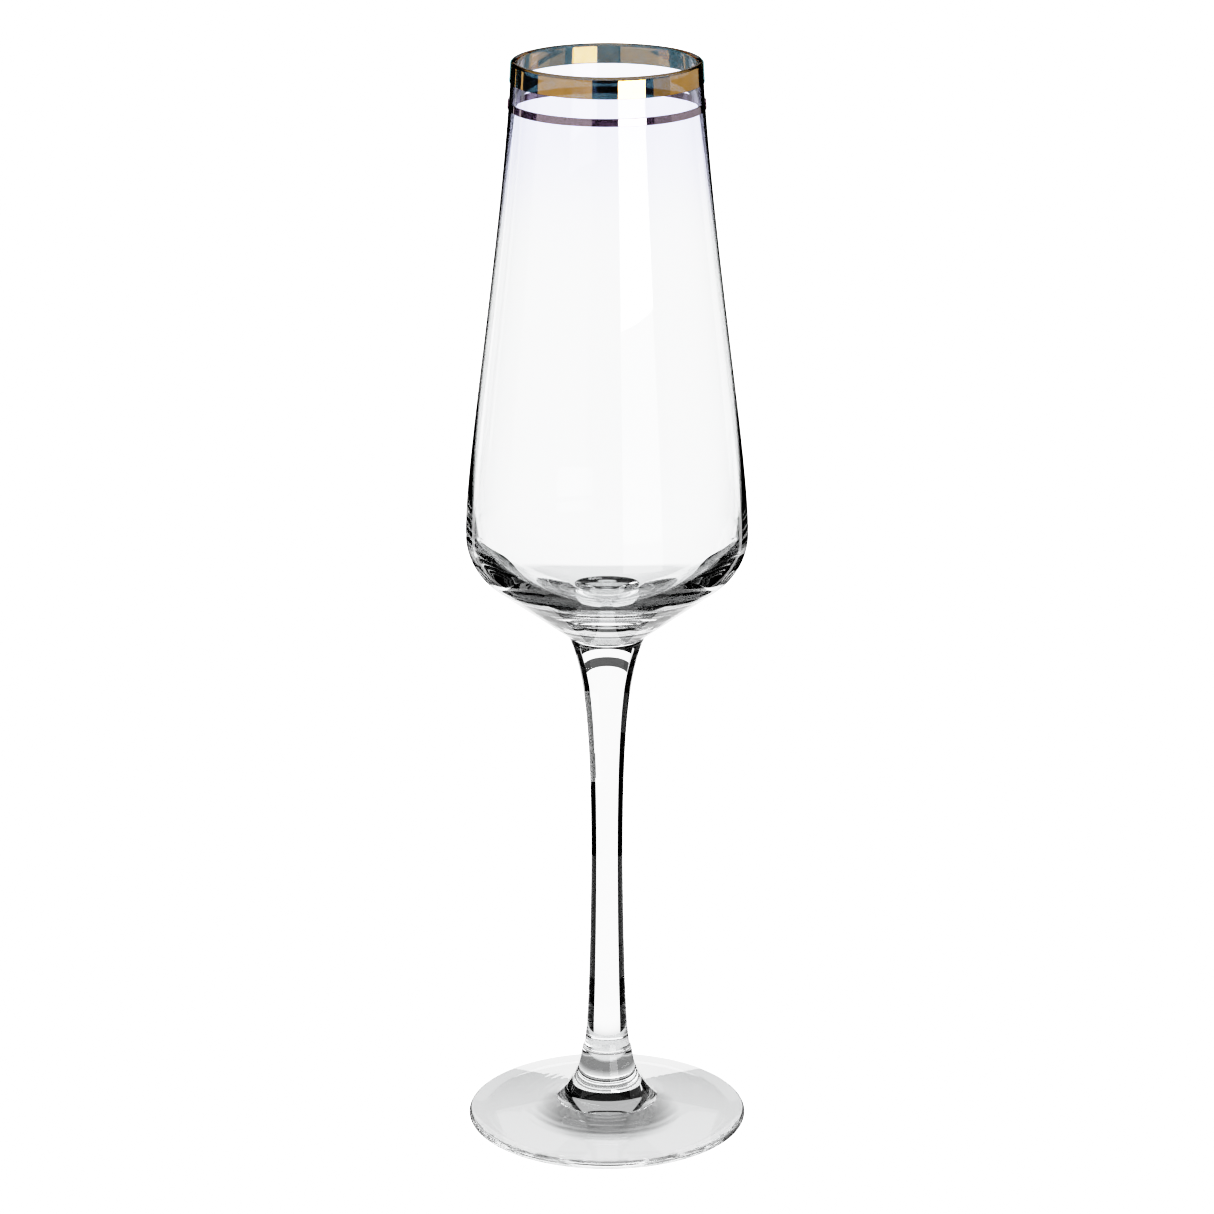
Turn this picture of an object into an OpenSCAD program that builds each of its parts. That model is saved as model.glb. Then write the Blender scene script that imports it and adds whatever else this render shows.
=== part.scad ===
// Champagne flute with a fired-on gold rim band and a fine platinum-lustre line.
// The axis of the glass is +Z and the table is Z = 0. Sizes are in millimetres.
// Every piece is a body of revolution, turned from an outline of [radius, height] points.

/* [Bowl] */
// Height of the bowl from the stem joint to the top of the lip
bowl_h = 131.8; // [110:0.1:158]
// Outside diameter at the lip
mouth_d = 42; // [35:0.1:50]
// Outside diameter at the belly, the widest place
belly_d = 63.8; // [54:0.1:76]
// Angle of the funnel under the belly, from the horizontal
funnel_angle = 36.7; // [30:0.1:42]
// Radius of the shoulder between belly and funnel
shoulder_r = 14; // [11:0.5:17]
// Inward lean of the wall at the lip, from the vertical
lip_lean = 3.2; // [1:0.1:5]
// How far the wall holds the upright line of the belly
belly_pull = 17.5; // [10:0.5:30]
// How far the wall holds the lean of the lip
lip_pull = 38.5; // [20:0.5:50]

/* [Glass thickness] */
// Wall at the lip, which is rounded over
lip_wall = 1.3; // [1:0.1:1.8]
// Wall at the belly
belly_wall = 1.3; // [1:0.1:2]
// Wall along the side, where the glass is blown thinnest
side_wall = 0.5; // [0.4:0.05:1]
// Glass between the stem joint and the inside floor
base_t = 7; // [6:0.1:9]
// How far the inside floor runs level from the axis
floor_pull = 17; // [12:0.5:22]
// Height of the inside belly above the stem joint
inner_rise = 26.5; // [24:0.5:30]
// How far the inside wall runs upright below its belly
inner_pull = 10; // [6:0.5:14]

/* [Stem] */
// Length of the stem between its two joints
stem_l = 100.7; // [84:0.1:121]
// Diameter at the waist, the thinnest place
waist_d = 7.3; // [6:0.1:9]
// Height of the waist above the foot joint
waist_h = 47; // [38:0.5:56]
// How far the stem runs straight below the waist
waist_low_pull = 4; // [2:0.5:8]
// How far the stem runs straight above the waist
waist_high_pull = 33; // [20:1:40]
// Diameter where the stem joins the bowl
bowl_joint_d = 17.8; // [14:0.1:21.4]
// Flare of the stem at the bowl joint, from the vertical
top_flare = 24; // [15:1:40]
// How far the stem holds that flare
top_pull = 9; // [6:0.5:12]
// Diameter where the stem joins the stub of the foot
foot_joint_d = 10.9; // [9:0.1:12]
// Flare of the stem at the foot joint, from the vertical
bottom_flare = 27; // [5:1:35]
// How far the stem holds that flare
bottom_pull = 3; // [2:0.5:5]

/* [Foot] */
// Outside diameter of the foot
foot_d = 64.6; // [53:0.1:78]
// Height of the foot from the table to the stem joint
foot_h = 17.5; // [15:0.1:21]
// Thickness at the edge, which is rounded over
edge_t = 1.9; // [1.5:0.1:2.4]
// Height of the top of the foot where the stub's collar meets it
crown_h = 4.8; // [4:0.1:6]
// Diameter of the circle where the stub's collar meets the foot
crown_d = 23.6; // [21:0.1:27]
// Diameter at the top of the stub
stub_d = 11.5; // [10:0.1:12.5]
// Outward slope of the stub's side at its top, from the vertical
stub_slope = 8; // [5:0.5:12]
// How far the stub's side holds that slope
stub_pull = 7.5; // [5:0.5:9]
// Slope of the collar where it rises out of the foot, from the vertical
collar_slope = 45; // [35:1:60]
// How far the collar holds that slope
collar_pull = 3.5; // [2:0.5:5]
// Height of the hollow under the foot
hollow_h = 2.2; // [1:0.1:2.8]
// Width of the flat ring that stands on the table
ring_w = 3; // [1.5:0.1:5]

/* [Bands] */
// Thickness of the fired-on metal on the side of the bowl
band_t = 0.25; // [0.1:0.05:0.4]
// Drop from the top of the lip to the edge of the gold, which thins out over the lip
gold_drop = 0.1; // [0.05:0.05:0.5]
// Height of the gold band
gold_h = 4.5; // [3:0.1:6]
// Clear glass between the gold band and the platinum line
band_gap = 4.2; // [2:0.1:8]
// Height of the platinum line
line_h = 1.65; // [1:0.05:3]

/* [Hidden] */
$fn = 96;
ARC_STEPS = 10;                       // straight steps in a short arc
WALL_STEPS = 26;                      // straight steps along the bowl's side
FLOOR_STEPS = 20;                     // straight steps across the bowl's inside floor
STEM_STEPS = 16;                      // straight steps along each half of the stem
STUB_STEPS = 14;                      // straight steps up the collar and the stub
SEAM_STEPS = 4;                       // straight steps round the edge of a joint
SEAM_R = 0.4;                         // rounding of the glass on both sides of the foot joint
BELLY_HOLD = 4;                       // how quickly the wall thins above the belly
LIP_HOLD = 8;                         // how late the wall thickens again under the lip
SAME = 0.001;                         // points closer than this are one point
CLEAR_GLASS = [0.86, 0.9, 0.95, 0.4];

// Heights of the two joints, and of the top
stem_z = foot_h;
bowl_z = stem_z + stem_l;
lip_z = bowl_z + bowl_h;

// Points on an arc about a centre, from one angle to another
function arc(centre, radius, from, to, steps = ARC_STEPS) =
    [for (i = [0:steps]) let (a = from + (to - from) * i / steps)
        centre + radius * [cos(a), sin(a)]];

// Points on a smooth curve that leaves p0 towards p1 and reaches p3 from p2
function sweep(p0, p1, p2, p3, steps = ARC_STEPS) =
    [for (i = [0:steps]) let (t = i / steps, u = 1 - t)
        u * u * u * p0 + 3 * u * u * t * p1 + 3 * u * t * t * p2 + t * t * t * p3];

// A step of one millimetre that climbs and leans away from the axis
function climb(lean) = [sin(lean), cos(lean)];

// The same points in the other order
function reversed(points) = [for (i = [len(points) - 1:-1:0]) points[i]];

// The same points with no point twice in a row
function joined(points) =
    [for (i = [0:len(points) - 1]) if (i == 0 || norm(points[i] - points[max(i - 1, 0)]) > SAME) points[i]];

// Turns an outline round the axis
module turned(points) {
    rotate_extrude() polygon(joined(points));
}

// ---- Bowl ----
belly_r = belly_d / 2;
bowl_joint_r = bowl_joint_d / 2;

// The lip is half a circle, tilted with the wall
lip_r = lip_wall / 2;
lip_c = [mouth_d / 2 - lip_r, lip_z - lip_r];
lip_side = lip_r * [cos(lip_lean), sin(lip_lean)];

// The side of the bowl from the belly up to the lip, for the outside or the inside
function side(belly, lip) =
    sweep(belly, belly + [0, belly_pull], lip - lip_pull * climb(-lip_lean), lip, WALL_STEPS);

// Outside: a straight funnel, the shoulder, and the side
funnel_top_r = belly_r - shoulder_r * (1 - sin(funnel_angle));
shoulder_c = [belly_r - shoulder_r,
    bowl_z + shoulder_r * cos(funnel_angle) + (funnel_top_r - bowl_joint_r) * tan(funnel_angle)];
outside = concat(
    [[bowl_joint_r, bowl_z]],
    arc(shoulder_c, shoulder_r, funnel_angle - 90, 0),
    side(shoulder_c + [shoulder_r, 0], lip_c + lip_side));

// The outer surface run on over the outer half of the lip, with metal of some thickness on it
function skin(metal) = concat(
    [for (p = outside) p + [metal, 0]],
    [for (i = [0:ARC_STEPS]) let (a = lip_lean + (90 - lip_lean) * i / ARC_STEPS)
        lip_c + [(lip_r + metal) * cos(a), lip_r * sin(a)]]);

// Inside: a dished floor that turns up into the inside belly, then the side with its thinner wall
floor_mid = [0, bowl_z + base_t];
inner_belly = [belly_r - belly_wall, bowl_z + inner_rise];
most_thinned = (belly_wall + lip_wall) / 2 - side_wall;

// The same points moved out, most of all along the side, so that the wall there is thinner
function thinned(points) = let (last = len(points) - 1)
    [for (i = [0:last]) let (t = i / last)
        points[i] + [most_thinned * (1 - (1 - t) ^ BELLY_HOLD - t ^ LIP_HOLD), 0]];

inside = concat(
    sweep(floor_mid, floor_mid + [floor_pull, 0], inner_belly - [0, inner_pull], inner_belly, FLOOR_STEPS),
    thinned(side(inner_belly, lip_c - lip_side)));

// The bowl: a thin wall, a thick base, and a lip melted round
module bowl() {
    color(CLEAR_GLASS)
        turned(concat(
            [[0, bowl_z]],
            skin(0),
            arc(lip_c, lip_r, 90, 180 + lip_lean),
            reversed(inside)));
}

// ---- Stem ----
// The stem: drawn out of the hot glass, narrowest at the waist and flared at both ends
module stem() {
    waist = [waist_d / 2, stem_z + waist_h];
    top = [bowl_joint_r, bowl_z];
    seam_c = [foot_joint_d / 2 - SEAM_R, stem_z + SEAM_R];
    bottom = seam_c + [SEAM_R, 0];
    color(CLEAR_GLASS)
        turned(concat(
            [[0, stem_z]],
            arc(seam_c, SEAM_R, -90, 0, SEAM_STEPS),
            sweep(bottom, bottom + bottom_pull * climb(-bottom_flare), waist - [0, waist_low_pull], waist, STEM_STEPS),
            sweep(waist, waist + [0, waist_high_pull], top - top_pull * climb(top_flare), top, STEM_STEPS),
            [[0, bowl_z]]));
}

// ---- Foot ----
foot_r = foot_d / 2;
edge_r = edge_t / 2;
edge_c = [foot_r - edge_r, edge_r];
crown = [crown_d / 2, crown_h];
top_slope = atan2(crown_h - edge_t, edge_c[0] - crown[0]);
ring_r = edge_c[0] - ring_w;
hollow_r = (ring_r ^ 2 + hollow_h ^ 2) / (2 * hollow_h);
hollow_turn = asin(ring_r / hollow_r);

// The foot: a shallow cone that stands on a flat ring, with a stub that meets the stem
module foot() {
    stub_c = [stub_d / 2 - SEAM_R, stem_z - SEAM_R];
    stub_side = stub_c + [SEAM_R, 0];
    color(CLEAR_GLASS)
        turned(concat(
            arc([0, hollow_h - hollow_r], hollow_r, 90, 90 - hollow_turn),
            arc(edge_c, edge_r, -90, 90 - top_slope),
            sweep(crown, crown + collar_pull * climb(-collar_slope),
                stub_side - stub_pull * climb(-stub_slope), stub_side, STUB_STEPS),
            arc(stub_c, SEAM_R, 0, 90, SEAM_STEPS),
            [[0, stem_z]]));
}

// ---- Bands ----
gold_top = lip_z - gold_drop;
line_top = gold_top - gold_h - band_gap;

// Everything inside the outer surface of the bowl, cut through the axis
module filled(metal) {
    polygon(joined(concat([[0, bowl_z]], skin(metal), [[0, lip_z]])));
}

// A ring of metal on the outside of the bowl, from its top edge down
module ring(top, height) {
    rotate_extrude()
        intersection() {
            translate([0, top - height]) square([belly_r + band_t, height]);
            difference() {
                filled(band_t);
                filled(0);
            }
        }
}

// The wide band of bright gold, which thins out over the lip
module gold_rim_band() {
    color([0.83, 0.65, 0.3]) ring(gold_top, gold_h);
}

// The fine line of platinum lustre below the gold
module platinum_line() {
    color([0.6, 0.54, 0.56]) ring(line_top, line_h);
}

foot();
stem();
bowl();
gold_rim_band();
platinum_line();
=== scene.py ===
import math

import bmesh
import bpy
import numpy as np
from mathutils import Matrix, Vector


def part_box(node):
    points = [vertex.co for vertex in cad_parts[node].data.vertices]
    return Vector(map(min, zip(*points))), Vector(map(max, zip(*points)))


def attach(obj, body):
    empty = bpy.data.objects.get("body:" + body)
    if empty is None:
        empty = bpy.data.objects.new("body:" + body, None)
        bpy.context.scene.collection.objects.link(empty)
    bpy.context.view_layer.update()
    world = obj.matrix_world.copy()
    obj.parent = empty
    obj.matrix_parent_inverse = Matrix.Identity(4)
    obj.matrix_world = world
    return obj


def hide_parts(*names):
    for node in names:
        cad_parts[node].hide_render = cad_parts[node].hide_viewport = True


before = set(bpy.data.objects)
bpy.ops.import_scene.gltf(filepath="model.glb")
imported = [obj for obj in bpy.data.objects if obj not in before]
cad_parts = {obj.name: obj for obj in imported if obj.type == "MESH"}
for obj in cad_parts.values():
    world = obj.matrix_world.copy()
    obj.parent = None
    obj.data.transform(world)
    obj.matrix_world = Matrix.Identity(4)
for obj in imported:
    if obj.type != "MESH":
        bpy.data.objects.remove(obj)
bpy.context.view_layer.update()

# %% [markdown]
# # A champagne flute in clear glass
#
# The flute is three pieces of clear glass, a foot, a stem and a bowl, with two rings of precious metal fired
# on near the lip. The frame loaded above brings the measured model of each piece. This lesson turns a finer
# mesh for every piece on the same axis, gives each its material, and lights it as a glassmaker would show it.

foot_low, foot_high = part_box("foot")
stem_low, stem_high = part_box("stem")
bowl_low, bowl_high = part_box("bowl")
MM = 0.001
print("the flute stands", round(bowl_high[2] / MM, 1), "mm tall")
print("its foot is", round(2 * foot_high[0] / MM, 1), "mm wide")

# %% [markdown]
# ## The camera
#
# A long lens a metre away keeps the glass from looking bent. The camera stands higher than the lip, so it
# looks down into the mouth a little and onto the foot rather more. Depth of field could blur the foot, but
# glass is read by its thin outlines, so everything is left sharp.

# %% Camera
EYE_DISTANCE = 0.986
EYE_HEIGHT = 0.435
LOOK_DOWN = math.radians(17.47)
LENS_MM = 135.2

camera_data = bpy.data.cameras.new("camera")
camera_data.lens = LENS_MM
camera = bpy.data.objects.new("camera", camera_data)
camera.location = (0, -EYE_DISTANCE, EYE_HEIGHT)
camera.rotation_euler = (math.pi / 2 - LOOK_DOWN, 0, 0)
bpy.context.collection.objects.link(camera)
bpy.context.scene.camera = camera
bpy.context.view_layer.update()
middle = Vector((0, 0, bowl_high[2] / 2))
print("the camera is", round((camera.location - middle).length, 3), "m from the middle of the glass")

# %% [markdown]
# ## How glass is lit
#
# Clear glass has no colour of its own to light. It shows itself by what it bends. A bright field stands
# behind it, black cards stand to the left and right of the view, and the room is dark: then every edge that
# bends the view past the field draws itself as a black line. Soft panels in front and at the sides are there
# for the metal, which is a mirror. All of these could be area lamps, but glowing cards have a sharp outline,
# and it is the outline that the glass and the metal repeat.
#
# The field is brighter than paper white, and a curve brings it back so that white clips softly, because the
# walls of the glass lose some light and should still look white.

# %% Exposure
FIELD_LIGHT = 2.0
PAPER_LIGHT = 4.0
BRIGHTEST = 2.5
TONES = ((0.03, 0.012), (0.1, 0.085), (0.5, 0.5), (0.9, 0.8), (1.3, 0.9), (1.8, 0.955))

scene = bpy.context.scene
scene.view_settings.view_transform = "Standard"
scene.view_settings.use_curve_mapping = True
tone_curve = scene.view_settings.curve_mapping
tone_curve.white_level = (BRIGHTEST, BRIGHTEST, BRIGHTEST)
tone_curve.extend = "HORIZONTAL"
for light, shown in TONES:
    tone_curve.curves[3].points.new(light / BRIGHTEST, shown)
tone_curve.update()
print("the tone curve has", len(tone_curve.curves[3].points), "points")

# %% Light paths
# Light crosses many surfaces in a thick glass base, so the paths are allowed to be long. Reflections stop at
# half of that, which is a choice of look and not of glass: light still running round inside the glass by then
# is lost, so the corners of the belly come out darker than with a higher limit.
LONG_PATH = 48
BRIGHTEST_BOUNCE = 40.0
scene.cycles.max_bounces = LONG_PATH
scene.cycles.transmission_bounces = LONG_PATH
scene.cycles.transparent_max_bounces = LONG_PATH
scene.cycles.glossy_bounces = LONG_PATH // 2
scene.cycles.sample_clamp_indirect = BRIGHTEST_BOUNCE
print("light may cross", LONG_PATH, "surfaces")

# %% [markdown]
# ## Cards that glow
#
# Each card is a strip of faces with an emission shader. The camera doesn't see it, but the glass and the
# metal do. The cards are children of the camera, through an empty at the axis of the glass, as if they moved
# with it on one arm, so that the glass reads much the same from every side. The gold does change with the
# height of the camera.

# %% A stand for the cards
studio = bpy.data.objects.new("studio", None)
bpy.context.collection.objects.link(studio)
studio.parent = camera
studio.matrix_parent_inverse = camera.matrix_world.inverted()


def glow(name, strength):
    """The look of an evenly lit card."""
    material = bpy.data.materials.new(name)
    material.use_nodes = True
    nodes, links = material.node_tree.nodes, material.node_tree.links
    nodes.clear()
    shine = nodes.new("ShaderNodeEmission")
    shine.inputs["Strength"].default_value = strength
    out = nodes.new("ShaderNodeOutputMaterial")
    links.new(shine.outputs[0], out.inputs["Surface"])
    return material


def card(name, pairs, strength):
    """A card between two rows of points, given as pairs, that only glass and metal can see."""
    mesh = bpy.data.meshes.new(name)
    corners = [point for pair in pairs for point in pair]
    faces = [(2 * i, 2 * i + 2, 2 * i + 3, 2 * i + 1) for i in range(len(pairs) - 1)]
    mesh.from_pydata(corners, [], faces)
    mesh.materials.append(glow(name, strength))
    piece = bpy.data.objects.new(name, mesh)
    bpy.context.collection.objects.link(piece)
    piece.parent = studio
    piece.visible_camera = False
    piece.visible_shadow = False
    return piece


def round_the_glass(angle, reach, height):
    """A point at an angle in degrees to the right of the camera, seen from above, at a reach off the axis."""
    a = math.radians(angle)
    return (reach * math.sin(a), -reach * math.cos(a), height)


# %% Upright panels and cards on the table
CARD_STEPS = 24


def panel(name, left, right, low, high, strength, reach=0.62):
    """A curved upright panel, from left to right in degrees and from low to high in metres."""
    angles = np.linspace(left, right, CARD_STEPS + 1)
    pairs = [(round_the_glass(a, reach, low), round_the_glass(a, reach, high)) for a in angles]
    return card(name, pairs, strength)


def table_card(name, left, right, near, far, strength):
    """A flat card just under the foot, from left to right in degrees and from near to far off the axis."""
    angles = np.linspace(left, right, CARD_STEPS + 1)
    pairs = [(round_the_glass(a, near, -MM), round_the_glass(a, far, -MM)) for a in angles]
    return card(name, pairs, strength)


def fade(piece, measure, start, start_light, end, end_light):
    """Lets the light of a card change along its height, or with the distance from the axis."""
    nodes, links = piece.data.materials[0].node_tree.nodes, piece.data.materials[0].node_tree.links
    place = nodes.new("ShaderNodeTexCoord")
    ramp = nodes.new("ShaderNodeMapRange")
    ramp.inputs["From Min"].default_value = start
    ramp.inputs["From Max"].default_value = end
    ramp.inputs["To Min"].default_value = start_light
    ramp.inputs["To Max"].default_value = end_light
    if measure == "height":
        split = nodes.new("ShaderNodeSeparateXYZ")
        links.new(place.outputs["Object"], split.inputs[0])
        links.new(split.outputs["Z"], ramp.inputs["Value"])
    else:
        length = nodes.new("ShaderNodeVectorMath")
        length.operation = "LENGTH"
        links.new(place.outputs["Object"], length.inputs[0])
        links.new(length.outputs["Value"], ramp.inputs["Value"])
    links.new(ramp.outputs[0], nodes["Emission"].inputs["Strength"])


# %% The bright field
FIELD_REACH = 1.6
FIELD_TOP = 0.3
field = panel("field", 135, 225, -1.6, FIELD_TOP, FIELD_LIGHT, reach=FIELD_REACH)
fade(field, "height", -0.95, 1.1, -0.80, FIELD_LIGHT)
panel("horizon_card", 140, 220, 0.045, 0.155, 0.1, reach=1.5)
panel("back_overhead", 140, 220, 0.47, 0.84, 0.5, reach=1.0)
print("the field reaches", round(math.degrees(math.atan2(FIELD_TOP, FIELD_REACH)), 1), "degrees up")

# %% Panels for the metal
panel("left_softbox", -87, -17, 0.05, 0.24, 0.9)
panel("right_softbox", 78, 144, 0.05, 0.24, 0.8)
panel("right_softbox_edge", 55, 78, 0.05, 0.24, 0.5)
panel("key_strip", 12.6, 44.7, -0.112, 0.3, 4.0, reach=0.8)
panel("left_far_strip", -119, -115, 0.05, 0.24, 1.2)
panel("left_edge_strip", -146, -141, 0.05, 0.24, 1.2)
panel("right_low_card", 84, 150, -0.11, -0.085, 0.15)

# These three show in reflections only, off the metal and off the outside of the glass: light that has come
# through the glass doesn't meet them. The tops of the softboxes are there for the gold when the camera is
# low, and the near strip whitens it beside the key.
reflected_only = [
    panel("left_softbox_top", -87, -17, 0.24, 0.50, 0.9),
    panel("right_softbox_top", 78, 144, 0.24, 0.50, 0.8),
    panel("rim_strip", 12.7, 43.8, 0.195, 0.235, 24.0, reach=0.3),
]
for piece in reflected_only:
    piece.visible_transmission = False
print(len(reflected_only), "cards show in reflections only")

# %% Cards under and over the glass
under_foot = table_card("under_foot_card", -180, 180, 0.0, 0.034, 0.96)
fade(under_foot, "radius", 0.010, 0.28, 0.017, 0.96)
table_card("front_table_card", -75, 75, 0.055, 0.16, 0.8)
CEILING_HEIGHT = 0.8
CEILING_REACH = 0.9
CEILING_LIGHT = 0.45
all_round = np.linspace(-180, 180, CARD_STEPS + 1)
ceiling_centre = (0, 0, CEILING_HEIGHT)
ceiling_pairs = [(ceiling_centre, round_the_glass(a, CEILING_REACH, CEILING_HEIGHT)) for a in all_round]
card("ceiling", ceiling_pairs, CEILING_LIGHT)
print("the ceiling is", CEILING_HEIGHT, "m up")

# %% [markdown]
# ## Black cards close to the glass
#
# A wall seen edge-on turns the view outwards. Black cards just outside the silhouette stand where it then
# looks, so the sides of the bowl are drawn as thin dark lines. Without the cards those lines vanish. Their
# inner edges lean with the bowl, and stand straight beside the stem.

# %% Flags
FLAG_BEHIND = 0.062
FLAG_FAR = 0.085
FLAG_INNER_EDGE = ((-0.2, 0.037), (0.098, 0.037), (0.125, 0.0435), (0.24, 0.031), (0.30, 0.029))

for flag_name, hand in (("left_flag", -1), ("right_flag", 1)):
    rows = [((hand * near, FLAG_BEHIND, z), (hand * FLAG_FAR, FLAG_BEHIND, z)) for z, near in FLAG_INNER_EDGE]
    card(flag_name, rows, 0.0)
    print(flag_name, "stands", FLAG_BEHIND, "m behind the glass")

# %% [markdown]
# ## Paper, floor and a dark room
#
# The camera sees plain white paper behind the flute and a plain white floor under it. Glass and metal see a
# dark room instead, so nothing but the cards shows in them. The light path node tells the two apart.

# %% The room
room_world = bpy.data.worlds.new("room")
scene.world = room_world
room_world.use_nodes = True
w_nodes, w_links = room_world.node_tree.nodes, room_world.node_tree.links
w_nodes.clear()
dark = w_nodes.new("ShaderNodeBackground")
dark.inputs["Color"].default_value = (0.002, 0.002, 0.002, 1)
paper = w_nodes.new("ShaderNodeBackground")
paper.inputs["Color"].default_value = (1, 1, 1, 1)
paper.inputs["Strength"].default_value = PAPER_LIGHT
light_path = w_nodes.new("ShaderNodeLightPath")
either = w_nodes.new("ShaderNodeMixShader")
w_out = w_nodes.new("ShaderNodeOutputWorld")
w_links.new(light_path.outputs["Is Camera Ray"], either.inputs["Fac"])
w_links.new(dark.outputs[0], either.inputs[1])
w_links.new(paper.outputs[0], either.inputs[2])
w_links.new(either.outputs[0], w_out.inputs["Surface"])
print("the room has", len(w_nodes), "nodes")

# %% The floor
FLOOR_HALF = 3.0
FLOOR_Z = -2 * MM
floor_mesh = bpy.data.meshes.new("floor")
floor_corners = [(x * FLOOR_HALF, y * FLOOR_HALF, FLOOR_Z) for x, y in ((-1, -1), (1, -1), (1, 1), (-1, 1))]
floor_mesh.from_pydata(floor_corners, [], [(0, 1, 2, 3)])
floor_mesh.materials.append(glow("white_floor", PAPER_LIGHT))
floor = bpy.data.objects.new("floor", floor_mesh)
bpy.context.collection.objects.link(floor)
floor.visible_diffuse = False
floor.visible_glossy = False
floor.visible_transmission = False
floor.visible_shadow = False
print("the floor is", 2 * FLOOR_HALF, "m wide")

# %% [markdown]
# ## Curves for an outline
#
# Each piece is a body of revolution, as blown and pressed glass is. Its outline is a list of points, radius
# and height in millimetres, made of arcs, straight runs and smooth sweeps. A sweep is a Bezier curve: it
# leaves its first point in one chosen direction and arrives at its last point from another, which is how hot
# glass flows between two places that a tool holds. A curve object could hold such an outline too, but plain
# points are easier to join, and to move where the wall has to be thinner.

# %% Outline helpers


def arc(centre, radius, start, end, steps=24):
    """Points on an arc, with angles in degrees from the horizontal."""
    angles = np.radians(np.linspace(start, end, steps + 1))
    return [np.array(centre) + radius * np.array((math.cos(a), math.sin(a))) for a in angles]


def sweep(p0, p1, p2, p3, steps=48):
    """Points on a smooth curve that leaves p0 towards p1 and reaches p3 from p2."""
    p0, p1, p2, p3 = (np.array(p, float) for p in (p0, p1, p2, p3))
    return [
        (1 - t) ** 3 * p0 + 3 * (1 - t) ** 2 * t * p1 + 3 * (1 - t) * t * t * p2 + t**3 * p3
        for t in np.linspace(0, 1, steps + 1)
    ]


def straight_run(start, end, steps=12):
    """Points along a straight part of an outline."""
    start, end = np.array(start, float), np.array(end, float)
    return [start + (end - start) * t for t in np.linspace(0, 1, steps + 1)]


def climb(lean):
    """A step of one millimetre that climbs and leans away from the axis, with the lean in degrees."""
    return np.array((math.sin(math.radians(lean)), math.cos(math.radians(lean))))


print("a quarter of a 1 mm bead has", len(arc((0, 0), 1, 0, 90)), "points")

# %% [markdown]
# ## The lathe
#
# Blender has a screw modifier that could turn an outline, but a few lines of bmesh do the same and give two
# things more: one point on the axis instead of a pinched ring of them, and a touch function that can press
# the hand-made unevenness of real glass into the surface while it is turned.

# %% Lathe
ROUND_STEPS = 512
ON_AXIS = 1e-6
SAME_POINT = 1e-4


def lathe_ring(bm, r, z, touch):
    """One ring of points at a radius and height, or a single point on the axis."""
    if r < ON_AXIS:
        return [bm.verts.new((0, 0, z * MM))]
    ring = []
    for i in range(ROUND_STEPS):
        a = 2 * math.pi * i / ROUND_STEPS
        lift = touch(r, a, z) if touch else 0
        ring.append(bm.verts.new((r * math.cos(a) * MM, r * math.sin(a) * MM, (z + lift) * MM)))
    return ring


def join_rings(bm, low, high):
    """Faces between two rings, or between a ring and the point on the axis."""
    for i in range(ROUND_STEPS):
        j = (i + 1) % ROUND_STEPS
        if len(low) == 1:
            bm.faces.new((low[0], high[j], high[i]))
        elif len(high) == 1:
            bm.faces.new((low[i], low[j], high[0]))
        else:
            bm.faces.new((low[i], low[j], high[j], high[i]))


def turned(name, outline, material, touch=None):
    """Spins an outline in millimetres into a smooth piece in metres, which rides on the root."""
    points = [outline[0]]
    for p in outline[1:]:
        if np.linalg.norm(np.array(p) - np.array(points[-1])) > SAME_POINT:
            points.append(p)
    bm = bmesh.new()
    rings = [lathe_ring(bm, r, z, touch) for r, z in points]
    for low, high in zip(rings, rings[1:]):
        join_rings(bm, low, high)
    bmesh.ops.remove_doubles(bm, verts=bm.verts, dist=SAME_POINT * MM)
    bmesh.ops.recalc_face_normals(bm, faces=bm.faces)
    mesh = bpy.data.meshes.new(name)
    bm.to_mesh(mesh)
    bm.free()
    for face in mesh.polygons:
        face.use_smooth = True
    mesh.materials.append(material)
    piece = bpy.data.objects.new(name, mesh)
    bpy.context.collection.objects.link(piece)
    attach(piece, "root")
    print(name, "has", len(mesh.polygons), "faces")
    return piece


# %% [markdown]
# ## Clear glass
#
# Drinking glass is almost without colour, with a refractive index near 1.5. What makes it look real is that
# it isn't perfect: the tint drifts a little where the melt was uneven, which slow noise gives. A bump map
# could wave the skin as well, but it is left out to keep the thin dark outlines clean. The upper part of the
# bowl looks faintly violet. Why isn't known, so it is given as a tint that fades in towards the lip.

# %% Glass material
CLEAR = (0.985, 0.99, 0.992, 1)
CLEAR_COOL = (0.975, 0.985, 0.99, 1)
VIOLET_CAST = (0.86, 0.87, 0.99, 1)
VIOLET_STARTS = 45 * MM
VIOLET_FULL = 12 * MM
MELT_SCALE = 22.0
MELT_DETAIL = 2.0
GLASS_INDEX = 1.5


def uneven_melt(nodes, links):
    """Slow noise that shifts the tint; returns the socket that carries it."""
    place = nodes.new("ShaderNodeTexCoord")
    melt = nodes.new("ShaderNodeTexNoise")
    melt.inputs["Scale"].default_value = MELT_SCALE
    melt.inputs["Detail"].default_value = MELT_DETAIL
    links.new(place.outputs["Object"], melt.inputs["Vector"])
    tint = nodes.new("ShaderNodeMix")
    tint.data_type = "RGBA"
    tint.inputs["A"].default_value = CLEAR
    tint.inputs["B"].default_value = CLEAR_COOL
    links.new(melt.outputs["Fac"], tint.inputs["Factor"])
    return tint.outputs["Result"]


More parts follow.
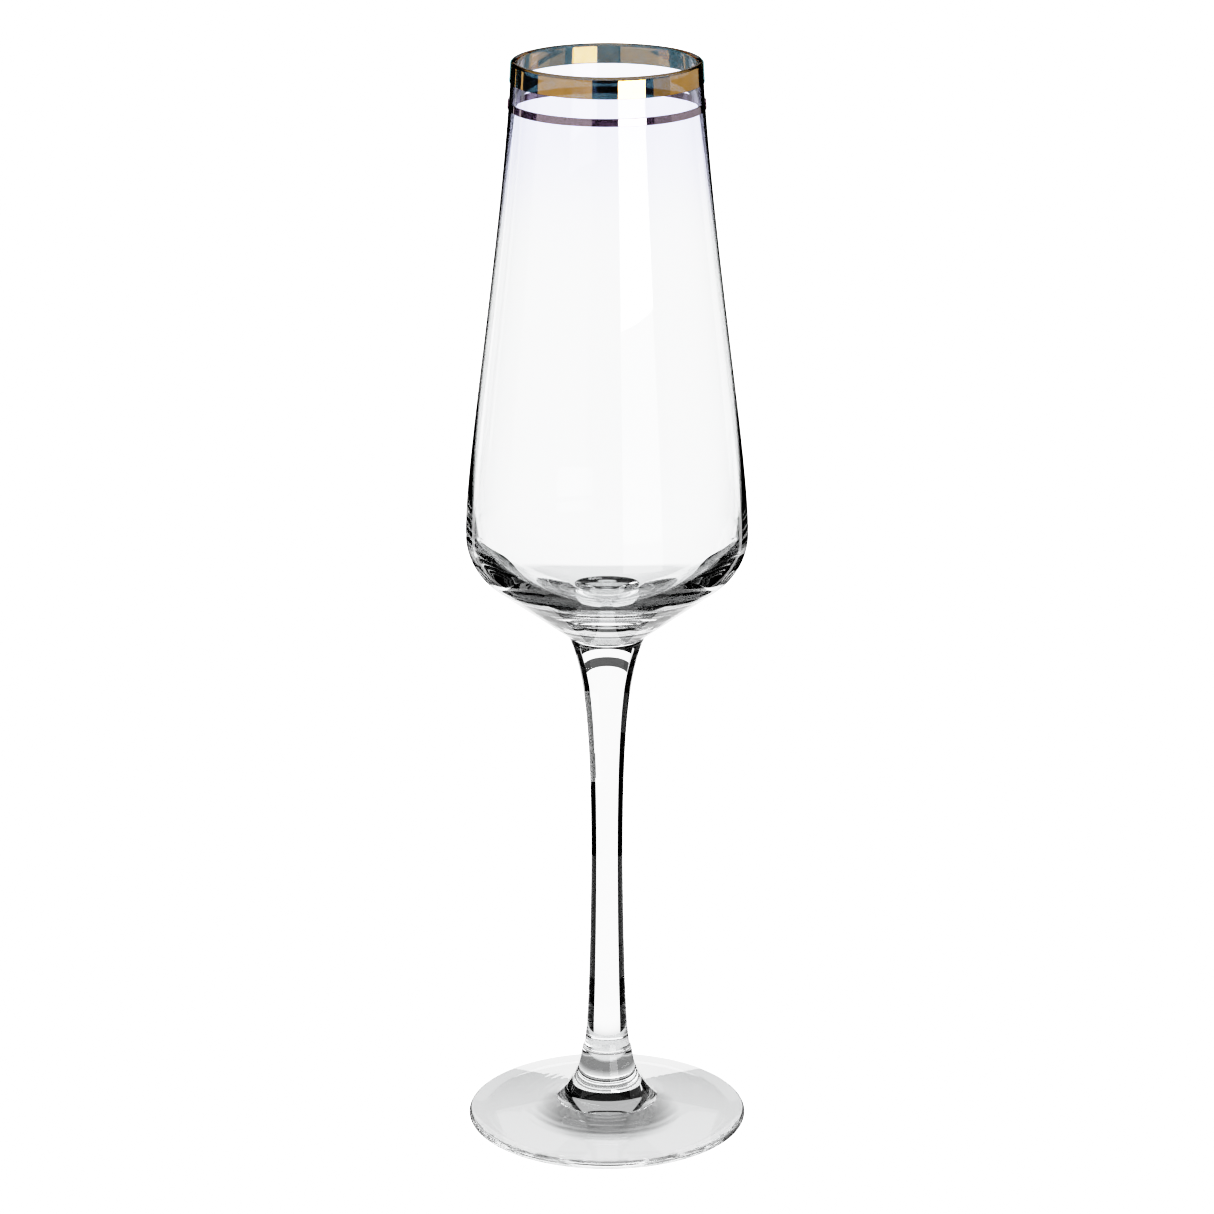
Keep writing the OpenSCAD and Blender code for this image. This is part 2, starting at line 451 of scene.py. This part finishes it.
def violet_towards_the_lip(nodes, links, tint, start, end):
    """Blends a violet cast over a tint between two heights in metres."""
    place = nodes.new("ShaderNodeTexCoord")
    split = nodes.new("ShaderNodeSeparateXYZ")
    links.new(place.outputs["Object"], split.inputs[0])
    rise = nodes.new("ShaderNodeMapRange")
    rise.interpolation_type = "SMOOTHSTEP"
    rise.inputs["From Min"].default_value = start
    rise.inputs["From Max"].default_value = end
    links.new(split.outputs["Z"], rise.inputs["Value"])
    blend = nodes.new("ShaderNodeMix")
    blend.data_type = "RGBA"
    blend.inputs["B"].default_value = VIOLET_CAST
    links.new(rise.outputs[0], blend.inputs["Factor"])
    links.new(tint, blend.inputs["A"])
    return blend.outputs["Result"]


def clear_glass(name, lip=None):
    """Clear glass; a lip height in metres gives it a violet cast up there."""
    material = bpy.data.materials.new(name)
    material.use_nodes = True
    nodes, links = material.node_tree.nodes, material.node_tree.links
    shader = nodes["Principled BSDF"]
    shader.inputs["Roughness"].default_value = 0.0
    shader.inputs["IOR"].default_value = GLASS_INDEX
    shader.inputs["Transmission Weight"].default_value = 1.0
    tint = uneven_melt(nodes, links)
    if lip:
        tint = violet_towards_the_lip(nodes, links, tint, lip - VIOLET_STARTS, lip - VIOLET_FULL)
    links.new(tint, shader.inputs["Base Color"])
    print(name, "has", len(nodes), "nodes")
    return material


# %% [markdown]
# ## The bowl
#
# A bowl like this can be blown into a mould: a straight funnel on the stem, a round shoulder at the belly,
# and a wall that draws in to the mouth. The glass is thickest in the base. Up the side it is given half a
# millimetre, which is a guess, and at the lip it is a round bead. A solidify modifier could give one even
# wall, but here the wall changes all the way, so the inside has an outline of its own.

# %% Bowl outside
belly_r = bowl_high[0] / MM
bowl_z = stem_high[2] / MM
top_z = bowl_high[2] / MM
bowl_joint_r = stem_high[0] / MM
MOUTH_R = 21.0
LIP_R = 0.65
LIP_LEAN = 3.2
BELLY_PULL = 17.5
LIP_PULL = 38.5
FUNNEL_ANGLE = 36.7
SHOULDER_R = 14.0
SIDE_STEPS = 120

lip_c = np.array((MOUTH_R - LIP_R, top_z - LIP_R))
lip_side = LIP_R * np.array((math.cos(math.radians(LIP_LEAN)), math.sin(math.radians(LIP_LEAN))))
funnel = math.radians(FUNNEL_ANGLE)
funnel_top_r = belly_r - SHOULDER_R * (1 - math.sin(funnel))
funnel_rise = (funnel_top_r - bowl_joint_r) * math.tan(funnel)
shoulder_c = np.array((belly_r - SHOULDER_R, bowl_z + SHOULDER_R * math.cos(funnel) + funnel_rise))


def bowl_side(belly, lip):
    """The side of the bowl from the belly up to the lip, for the outside or the inside."""
    return sweep(belly, belly + (0, BELLY_PULL), lip - LIP_PULL * climb(-LIP_LEAN), lip, SIDE_STEPS)


outer_side = bowl_side(shoulder_c + (SHOULDER_R, 0), lip_c + lip_side)
bowl_outside = straight_run((bowl_joint_r, bowl_z), shoulder_c + SHOULDER_R * climb(180 - FUNNEL_ANGLE))
bowl_outside += arc(shoulder_c, SHOULDER_R, FUNNEL_ANGLE - 90, 0, 32) + outer_side
print("the belly is at", round(shoulder_c[1], 1), "mm")

# %% Bowl inside
LIP_WALL = 2 * LIP_R
BELLY_WALL = 1.3
SIDE_WALL = 0.5
BASE_T = 7.0
FLOOR_PULL = 17.0
INNER_RISE = 26.5
INNER_PULL = 10.0
BELLY_HOLD = 4
LIP_HOLD = 8

floor_mid = np.array((0, bowl_z + BASE_T))
inner_belly = np.array((belly_r - BELLY_WALL, bowl_z + INNER_RISE))
inner_floor = sweep(floor_mid, floor_mid + (FLOOR_PULL, 0), inner_belly - (0, INNER_PULL), inner_belly, 80)
most_thinned = (BELLY_WALL + LIP_WALL) / 2 - SIDE_WALL
inner_side = bowl_side(inner_belly, lip_c - lip_side)
share_up = np.linspace(0, 1, len(inner_side))
thinning = most_thinned * (1 - (1 - share_up) ** BELLY_HOLD - share_up**LIP_HOLD)
bowl_inside = inner_floor + [p + (thin, 0) for p, thin in zip(inner_side, thinning)]
print("the wall is", round(most_thinned, 2), "mm thinner up the side than at the belly")

# %% The bowl piece
bowl_outline = [(0, bowl_z)] + bowl_outside
bowl_outline += arc(lip_c, LIP_R, LIP_LEAN, LIP_LEAN + 180) + bowl_inside[::-1]
bowl = turned("bowl_glass", bowl_outline, clear_glass("bowl_clear_glass", lip=bowl_high[2]))
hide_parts("bowl")

# %% [markdown]
# ## The stem
#
# The stem is pulled out of a gather of hot glass, so it is thinnest a little under its middle and flares
# smoothly where it meets the bowl. Two sweeps that share an upright tangent at the waist give that line with
# no kink. A small round at the foot end is the soft edge of the joint.

# %% Stem
stem_z = foot_high[2] / MM
WAIST_R = 3.65
WAIST_H = 47.0
FOOT_JOINT_R = 5.45
SEAM_R = 0.4
BOTTOM_FLARE = 27
BOTTOM_PULL = 3.0
WAIST_LOW_PULL = 4.0
WAIST_HIGH_PULL = 33.0
TOP_FLARE = 24
TOP_PULL = 9.0

seam_c = np.array((FOOT_JOINT_R - SEAM_R, stem_z + SEAM_R))
stem_foot = seam_c + (SEAM_R, 0)
waist = np.array((WAIST_R, stem_z + WAIST_H))
stem_top = np.array((bowl_joint_r, bowl_z))
leaves_foot = stem_foot + BOTTOM_PULL * climb(-BOTTOM_FLARE)
meets_bowl = stem_top - TOP_PULL * climb(TOP_FLARE)
stem_outline = [(0, stem_z)] + arc(seam_c, SEAM_R, -90, 0, 10)
stem_outline += sweep(stem_foot, leaves_foot, waist - (0, WAIST_LOW_PULL), waist, 60)
stem_outline += sweep(waist, waist + (0, WAIST_HIGH_PULL), meets_bowl, stem_top, 80)
stem_outline += [(0, bowl_z)]
print("the stem is", round(bowl_z - stem_z, 1), "mm long")

stem_material = clear_glass("clear_glass")
stem = turned("stem_glass", stem_outline, stem_material)
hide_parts("stem")

# %% [markdown]
# ## The foot
#
# The foot is pressed and spun from one gather: a shallow cone on a flat ring, hollow underneath, with a
# collar that rises into the stub that carries the stem. Spinning leaves faint rings in the glass round the
# collar. They are modelled at most two hundredths of a millimetre high, and they are pressed into the mesh by
# the lathe's touch function, so that they bend the light a little.

# %% Foot outline
foot_r = foot_high[0] / MM
EDGE_R = 0.95
CROWN = np.array((11.8, 4.8))
STUB_R = 5.75
STUB_SLOPE = 8
STUB_PULL = 7.5
COLLAR_SLOPE = 45
COLLAR_PULL = 3.5
HOLLOW_H = 2.2
RING_W = 3.0
TOP_STEPS = 120

edge_c = np.array((foot_r - EDGE_R, EDGE_R))
top_slope = math.degrees(math.atan2(CROWN[1] - 2 * EDGE_R, edge_c[0] - CROWN[0]))
ring_r = edge_c[0] - RING_W
hollow_r = (ring_r**2 + HOLLOW_H**2) / (2 * HOLLOW_H)
hollow_turn = math.degrees(math.asin(ring_r / hollow_r))
stub_c = np.array((STUB_R - SEAM_R, stem_z - SEAM_R))
stub_side = stub_c + (SEAM_R, 0)

foot_outline = arc((0, HOLLOW_H - hollow_r), hollow_r, 90, 90 - hollow_turn, 48)
foot_outline += arc(edge_c, EDGE_R, -90, 90 - top_slope)
foot_outline += straight_run(edge_c + EDGE_R * climb(top_slope), CROWN, TOP_STEPS)
collar_start = CROWN + COLLAR_PULL * climb(-COLLAR_SLOPE)
foot_outline += sweep(CROWN, collar_start, stub_side - STUB_PULL * climb(-STUB_SLOPE), stub_side, 60)
foot_outline += arc(stub_c, SEAM_R, 0, 90, 10) + [(0, stem_z)]
print("the top of the foot slopes", round(top_slope, 1), "degrees")

# %% The foot piece, with its spun rings
RIPPLE_H = 0.02
RIPPLE_STEP = 2.3
RIPPLE_INNER = 12.5
RIPPLE_OUTER = 23.0


def spun_rings(r, turn, z):
    """Faint rings in the top of the foot, strongest on one side, in millimetres of lift."""
    if z < 2 * EDGE_R or not RIPPLE_INNER < r < RIPPLE_OUTER:
        return 0
    across = (r - RIPPLE_INNER) / (RIPPLE_OUTER - RIPPLE_INNER)
    fades = math.sin(math.pi * across) ** 2
    one_side = 0.5 + 0.5 * math.cos(turn - math.radians(250))
    wander = 0.6 * math.sin(2 * turn + 1)
    return RIPPLE_H * fades * one_side * math.sin(2 * math.pi * r / RIPPLE_STEP + wander)


foot = turned("foot_glass", foot_outline, stem_material, touch=spun_rings)
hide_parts("foot")

# %% [markdown]
# ## Joints that are fused
#
# The three pieces are joined hot, so there is no air between them and nothing to see at the flat joint but
# its soft edge. Two glass faces that lie on each other would draw a false mirror there. The flat faces at
# the two joint heights get a transparent material instead, and the light goes straight on.

# %% Fused joints
fused = bpy.data.materials.new("fused_seam")
fused.use_nodes = True
fused.node_tree.nodes.clear()
straight_on = fused.node_tree.nodes.new("ShaderNodeBsdfTransparent")
fused_out = fused.node_tree.nodes.new("ShaderNodeOutputMaterial")
fused.node_tree.links.new(straight_on.outputs[0], fused_out.inputs["Surface"])
JOINT_HEIGHTS = {round(stem_z, 3), round(bowl_z, 3)}

for piece in (bowl, stem, foot):
    piece.data.materials.append(fused)
    for face in piece.data.polygons:
        heights = {round(piece.data.vertices[v].co.z / MM, 3) for v in face.vertices}
        if len(heights) == 1 and heights <= JOINT_HEIGHTS:
            face.material_index = 1
    print(piece.name, "has", sum(face.material_index for face in piece.data.polygons), "fused faces")

# %% [markdown]
# ## Gold and platinum lustre
#
# Rings like these are painted on as metal in oil and fired, which leaves a film so thin that it is a mirror
# from outside and a coloured filter when light comes through: gold lets blue-green through, and this
# platinum-coloured line a dull mauve. A mix of a metallic shader and a transparent one gives both at once. A
# brush lays the film on a turning glass, so its thickness drifts: noise moves the share of mirror, the colour
# and the gloss a little, and a fine bump breaks the reflections as brush marks do.

# %% Lustre material
BRUSH_MARK = 0.0008 * MM
FILM_SCALE = 320.0
FILM_DETAIL = 3.0
GLOSSY = 0.015
DULLED = 0.05
THIN_FILM = 0.3
THICK_FILM = 0.7


def lustre(name, mirror, mirror_thick, seen_through, share_low, share_high):
    """A fired film of metal; share is how much of it is mirror, from its thin to its thick places."""
    material = bpy.data.materials.new(name)
    material.use_nodes = True
    nodes, links = material.node_tree.nodes, material.node_tree.links
    shader = nodes["Principled BSDF"]
    shader.inputs["Metallic"].default_value = 1
    place = nodes.new("ShaderNodeTexCoord")
    film = nodes.new("ShaderNodeTexNoise")
    film.inputs["Scale"].default_value = FILM_SCALE
    film.inputs["Detail"].default_value = FILM_DETAIL
    links.new(place.outputs["Object"], film.inputs["Vector"])
    colour = nodes.new("ShaderNodeMix")
    colour.data_type = "RGBA"
    colour.inputs["A"].default_value = (*mirror, 1)
    colour.inputs["B"].default_value = (*mirror_thick, 1)
    links.new(film.outputs["Fac"], colour.inputs["Factor"])
    links.new(colour.outputs["Result"], shader.inputs["Base Color"])
    gloss = nodes.new("ShaderNodeMapRange")
    gloss.inputs["To Min"].default_value = GLOSSY
    gloss.inputs["To Max"].default_value = DULLED
    links.new(film.outputs["Fac"], gloss.inputs["Value"])
    links.new(gloss.outputs[0], shader.inputs["Roughness"])
    marks = nodes.new("ShaderNodeBump")
    marks.inputs["Strength"].default_value = 0.5
    marks.inputs["Distance"].default_value = BRUSH_MARK
    links.new(film.outputs["Fac"], marks.inputs["Height"])
    links.new(marks.outputs[0], shader.inputs["Normal"])
    filtered = nodes.new("ShaderNodeBsdfTransparent")
    filtered.inputs["Color"].default_value = (*seen_through, 1)
    share = nodes.new("ShaderNodeMapRange")
    share.inputs["From Min"].default_value = THIN_FILM
    share.inputs["From Max"].default_value = THICK_FILM
    share.inputs["To Min"].default_value = share_low
    share.inputs["To Max"].default_value = share_high
    links.new(film.outputs["Fac"], share.inputs["Value"])
    both = nodes.new("ShaderNodeMixShader")
    links.new(share.outputs[0], both.inputs["Fac"])
    links.new(filtered.outputs[0], both.inputs[1])
    links.new(shader.outputs[0], both.inputs[2])
    links.new(both.outputs[0], nodes["Material Output"].inputs["Surface"])
    print(name, "has", len(nodes), "nodes")
    return material


# %% Ring outlines
# A real fired film is far thinner. This one is thick enough to be a solid.
FILM = 0.25
SINK = 0.02
RING_EDGE = 0.08
LIP_TURN = 78
RING_STEPS = 24
side_heights = [p[1] for p in outer_side]
side_radii = [p[0] for p in outer_side]


def wall_r(z):
    """The outside radius of the bowl at a height, in millimetres."""
    return float(np.interp(z, side_heights, side_radii))


def sleeve(low, high):
    """The outside of a ring between two heights, and the same wall sunk a hair into the glass."""
    outside = [(wall_r(z) + FILM, z) for z in np.linspace(low + RING_EDGE, high - RING_EDGE, RING_STEPS)]
    return outside, [(wall_r(z) - SINK, z) for z in np.linspace(high, low, RING_STEPS)]


def soft_edge(z, start):
    """A rounded edge of a ring, a quarter turn from a start angle."""
    return arc((wall_r(z) + FILM - RING_EDGE, z), RING_EDGE, start, start + 90, 6)


print("the wall under the rings is at", round(wall_r(side_heights[-1]), 2), "mm at the lip")


# %% The platinum line
line_low, line_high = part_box("platinum_line")
low, high = line_low[2] / MM, line_high[2] / MM
outside, sunk = sleeve(low, high)
line_outline = soft_edge(low + RING_EDGE, -90) + outside + soft_edge(high - RING_EDGE, 0) + sunk
platinum = lustre("platinum_lustre", (0.40, 0.33, 0.35), (0.45, 0.38, 0.40), (0.5, 0.42, 0.46), 0.5, 0.6)
line = turned("platinum_line_metal", line_outline + line_outline[:1], platinum)
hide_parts("platinum_line")

# %% [markdown]
# The gold runs on over the outer half of the lip and thins out just before the top.

# %% The gold band
band_low, band_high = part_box("gold_rim_band")
low, high = band_low[2] / MM, lip_c[1] + lip_side[1]
outside, sunk = sleeve(low, high)
over_lip = np.radians(np.linspace(LIP_LEAN, LIP_TURN, RING_STEPS))
film_over_lip = [lip_c + ((LIP_R + FILM) * math.cos(a), LIP_R * math.sin(a)) for a in over_lip]
sunk_in_lip = [lip_c + (LIP_R - SINK) * np.array((math.cos(a), math.sin(a))) for a in over_lip[::-1]]
band_outline = soft_edge(low + RING_EDGE, -90) + outside + film_over_lip + sunk_in_lip + sunk
gold = lustre("gold_lustre", (0.75, 0.38, 0.09), (0.78, 0.44, 0.14), (0.46, 0.65, 0.70), 0.50, 0.60)
band = turned("gold_rim_band_metal", band_outline + band_outline[:1], gold)
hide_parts("gold_rim_band")
print("the gold ends", round(band_high[2] / MM - low, 2), "mm under its top")
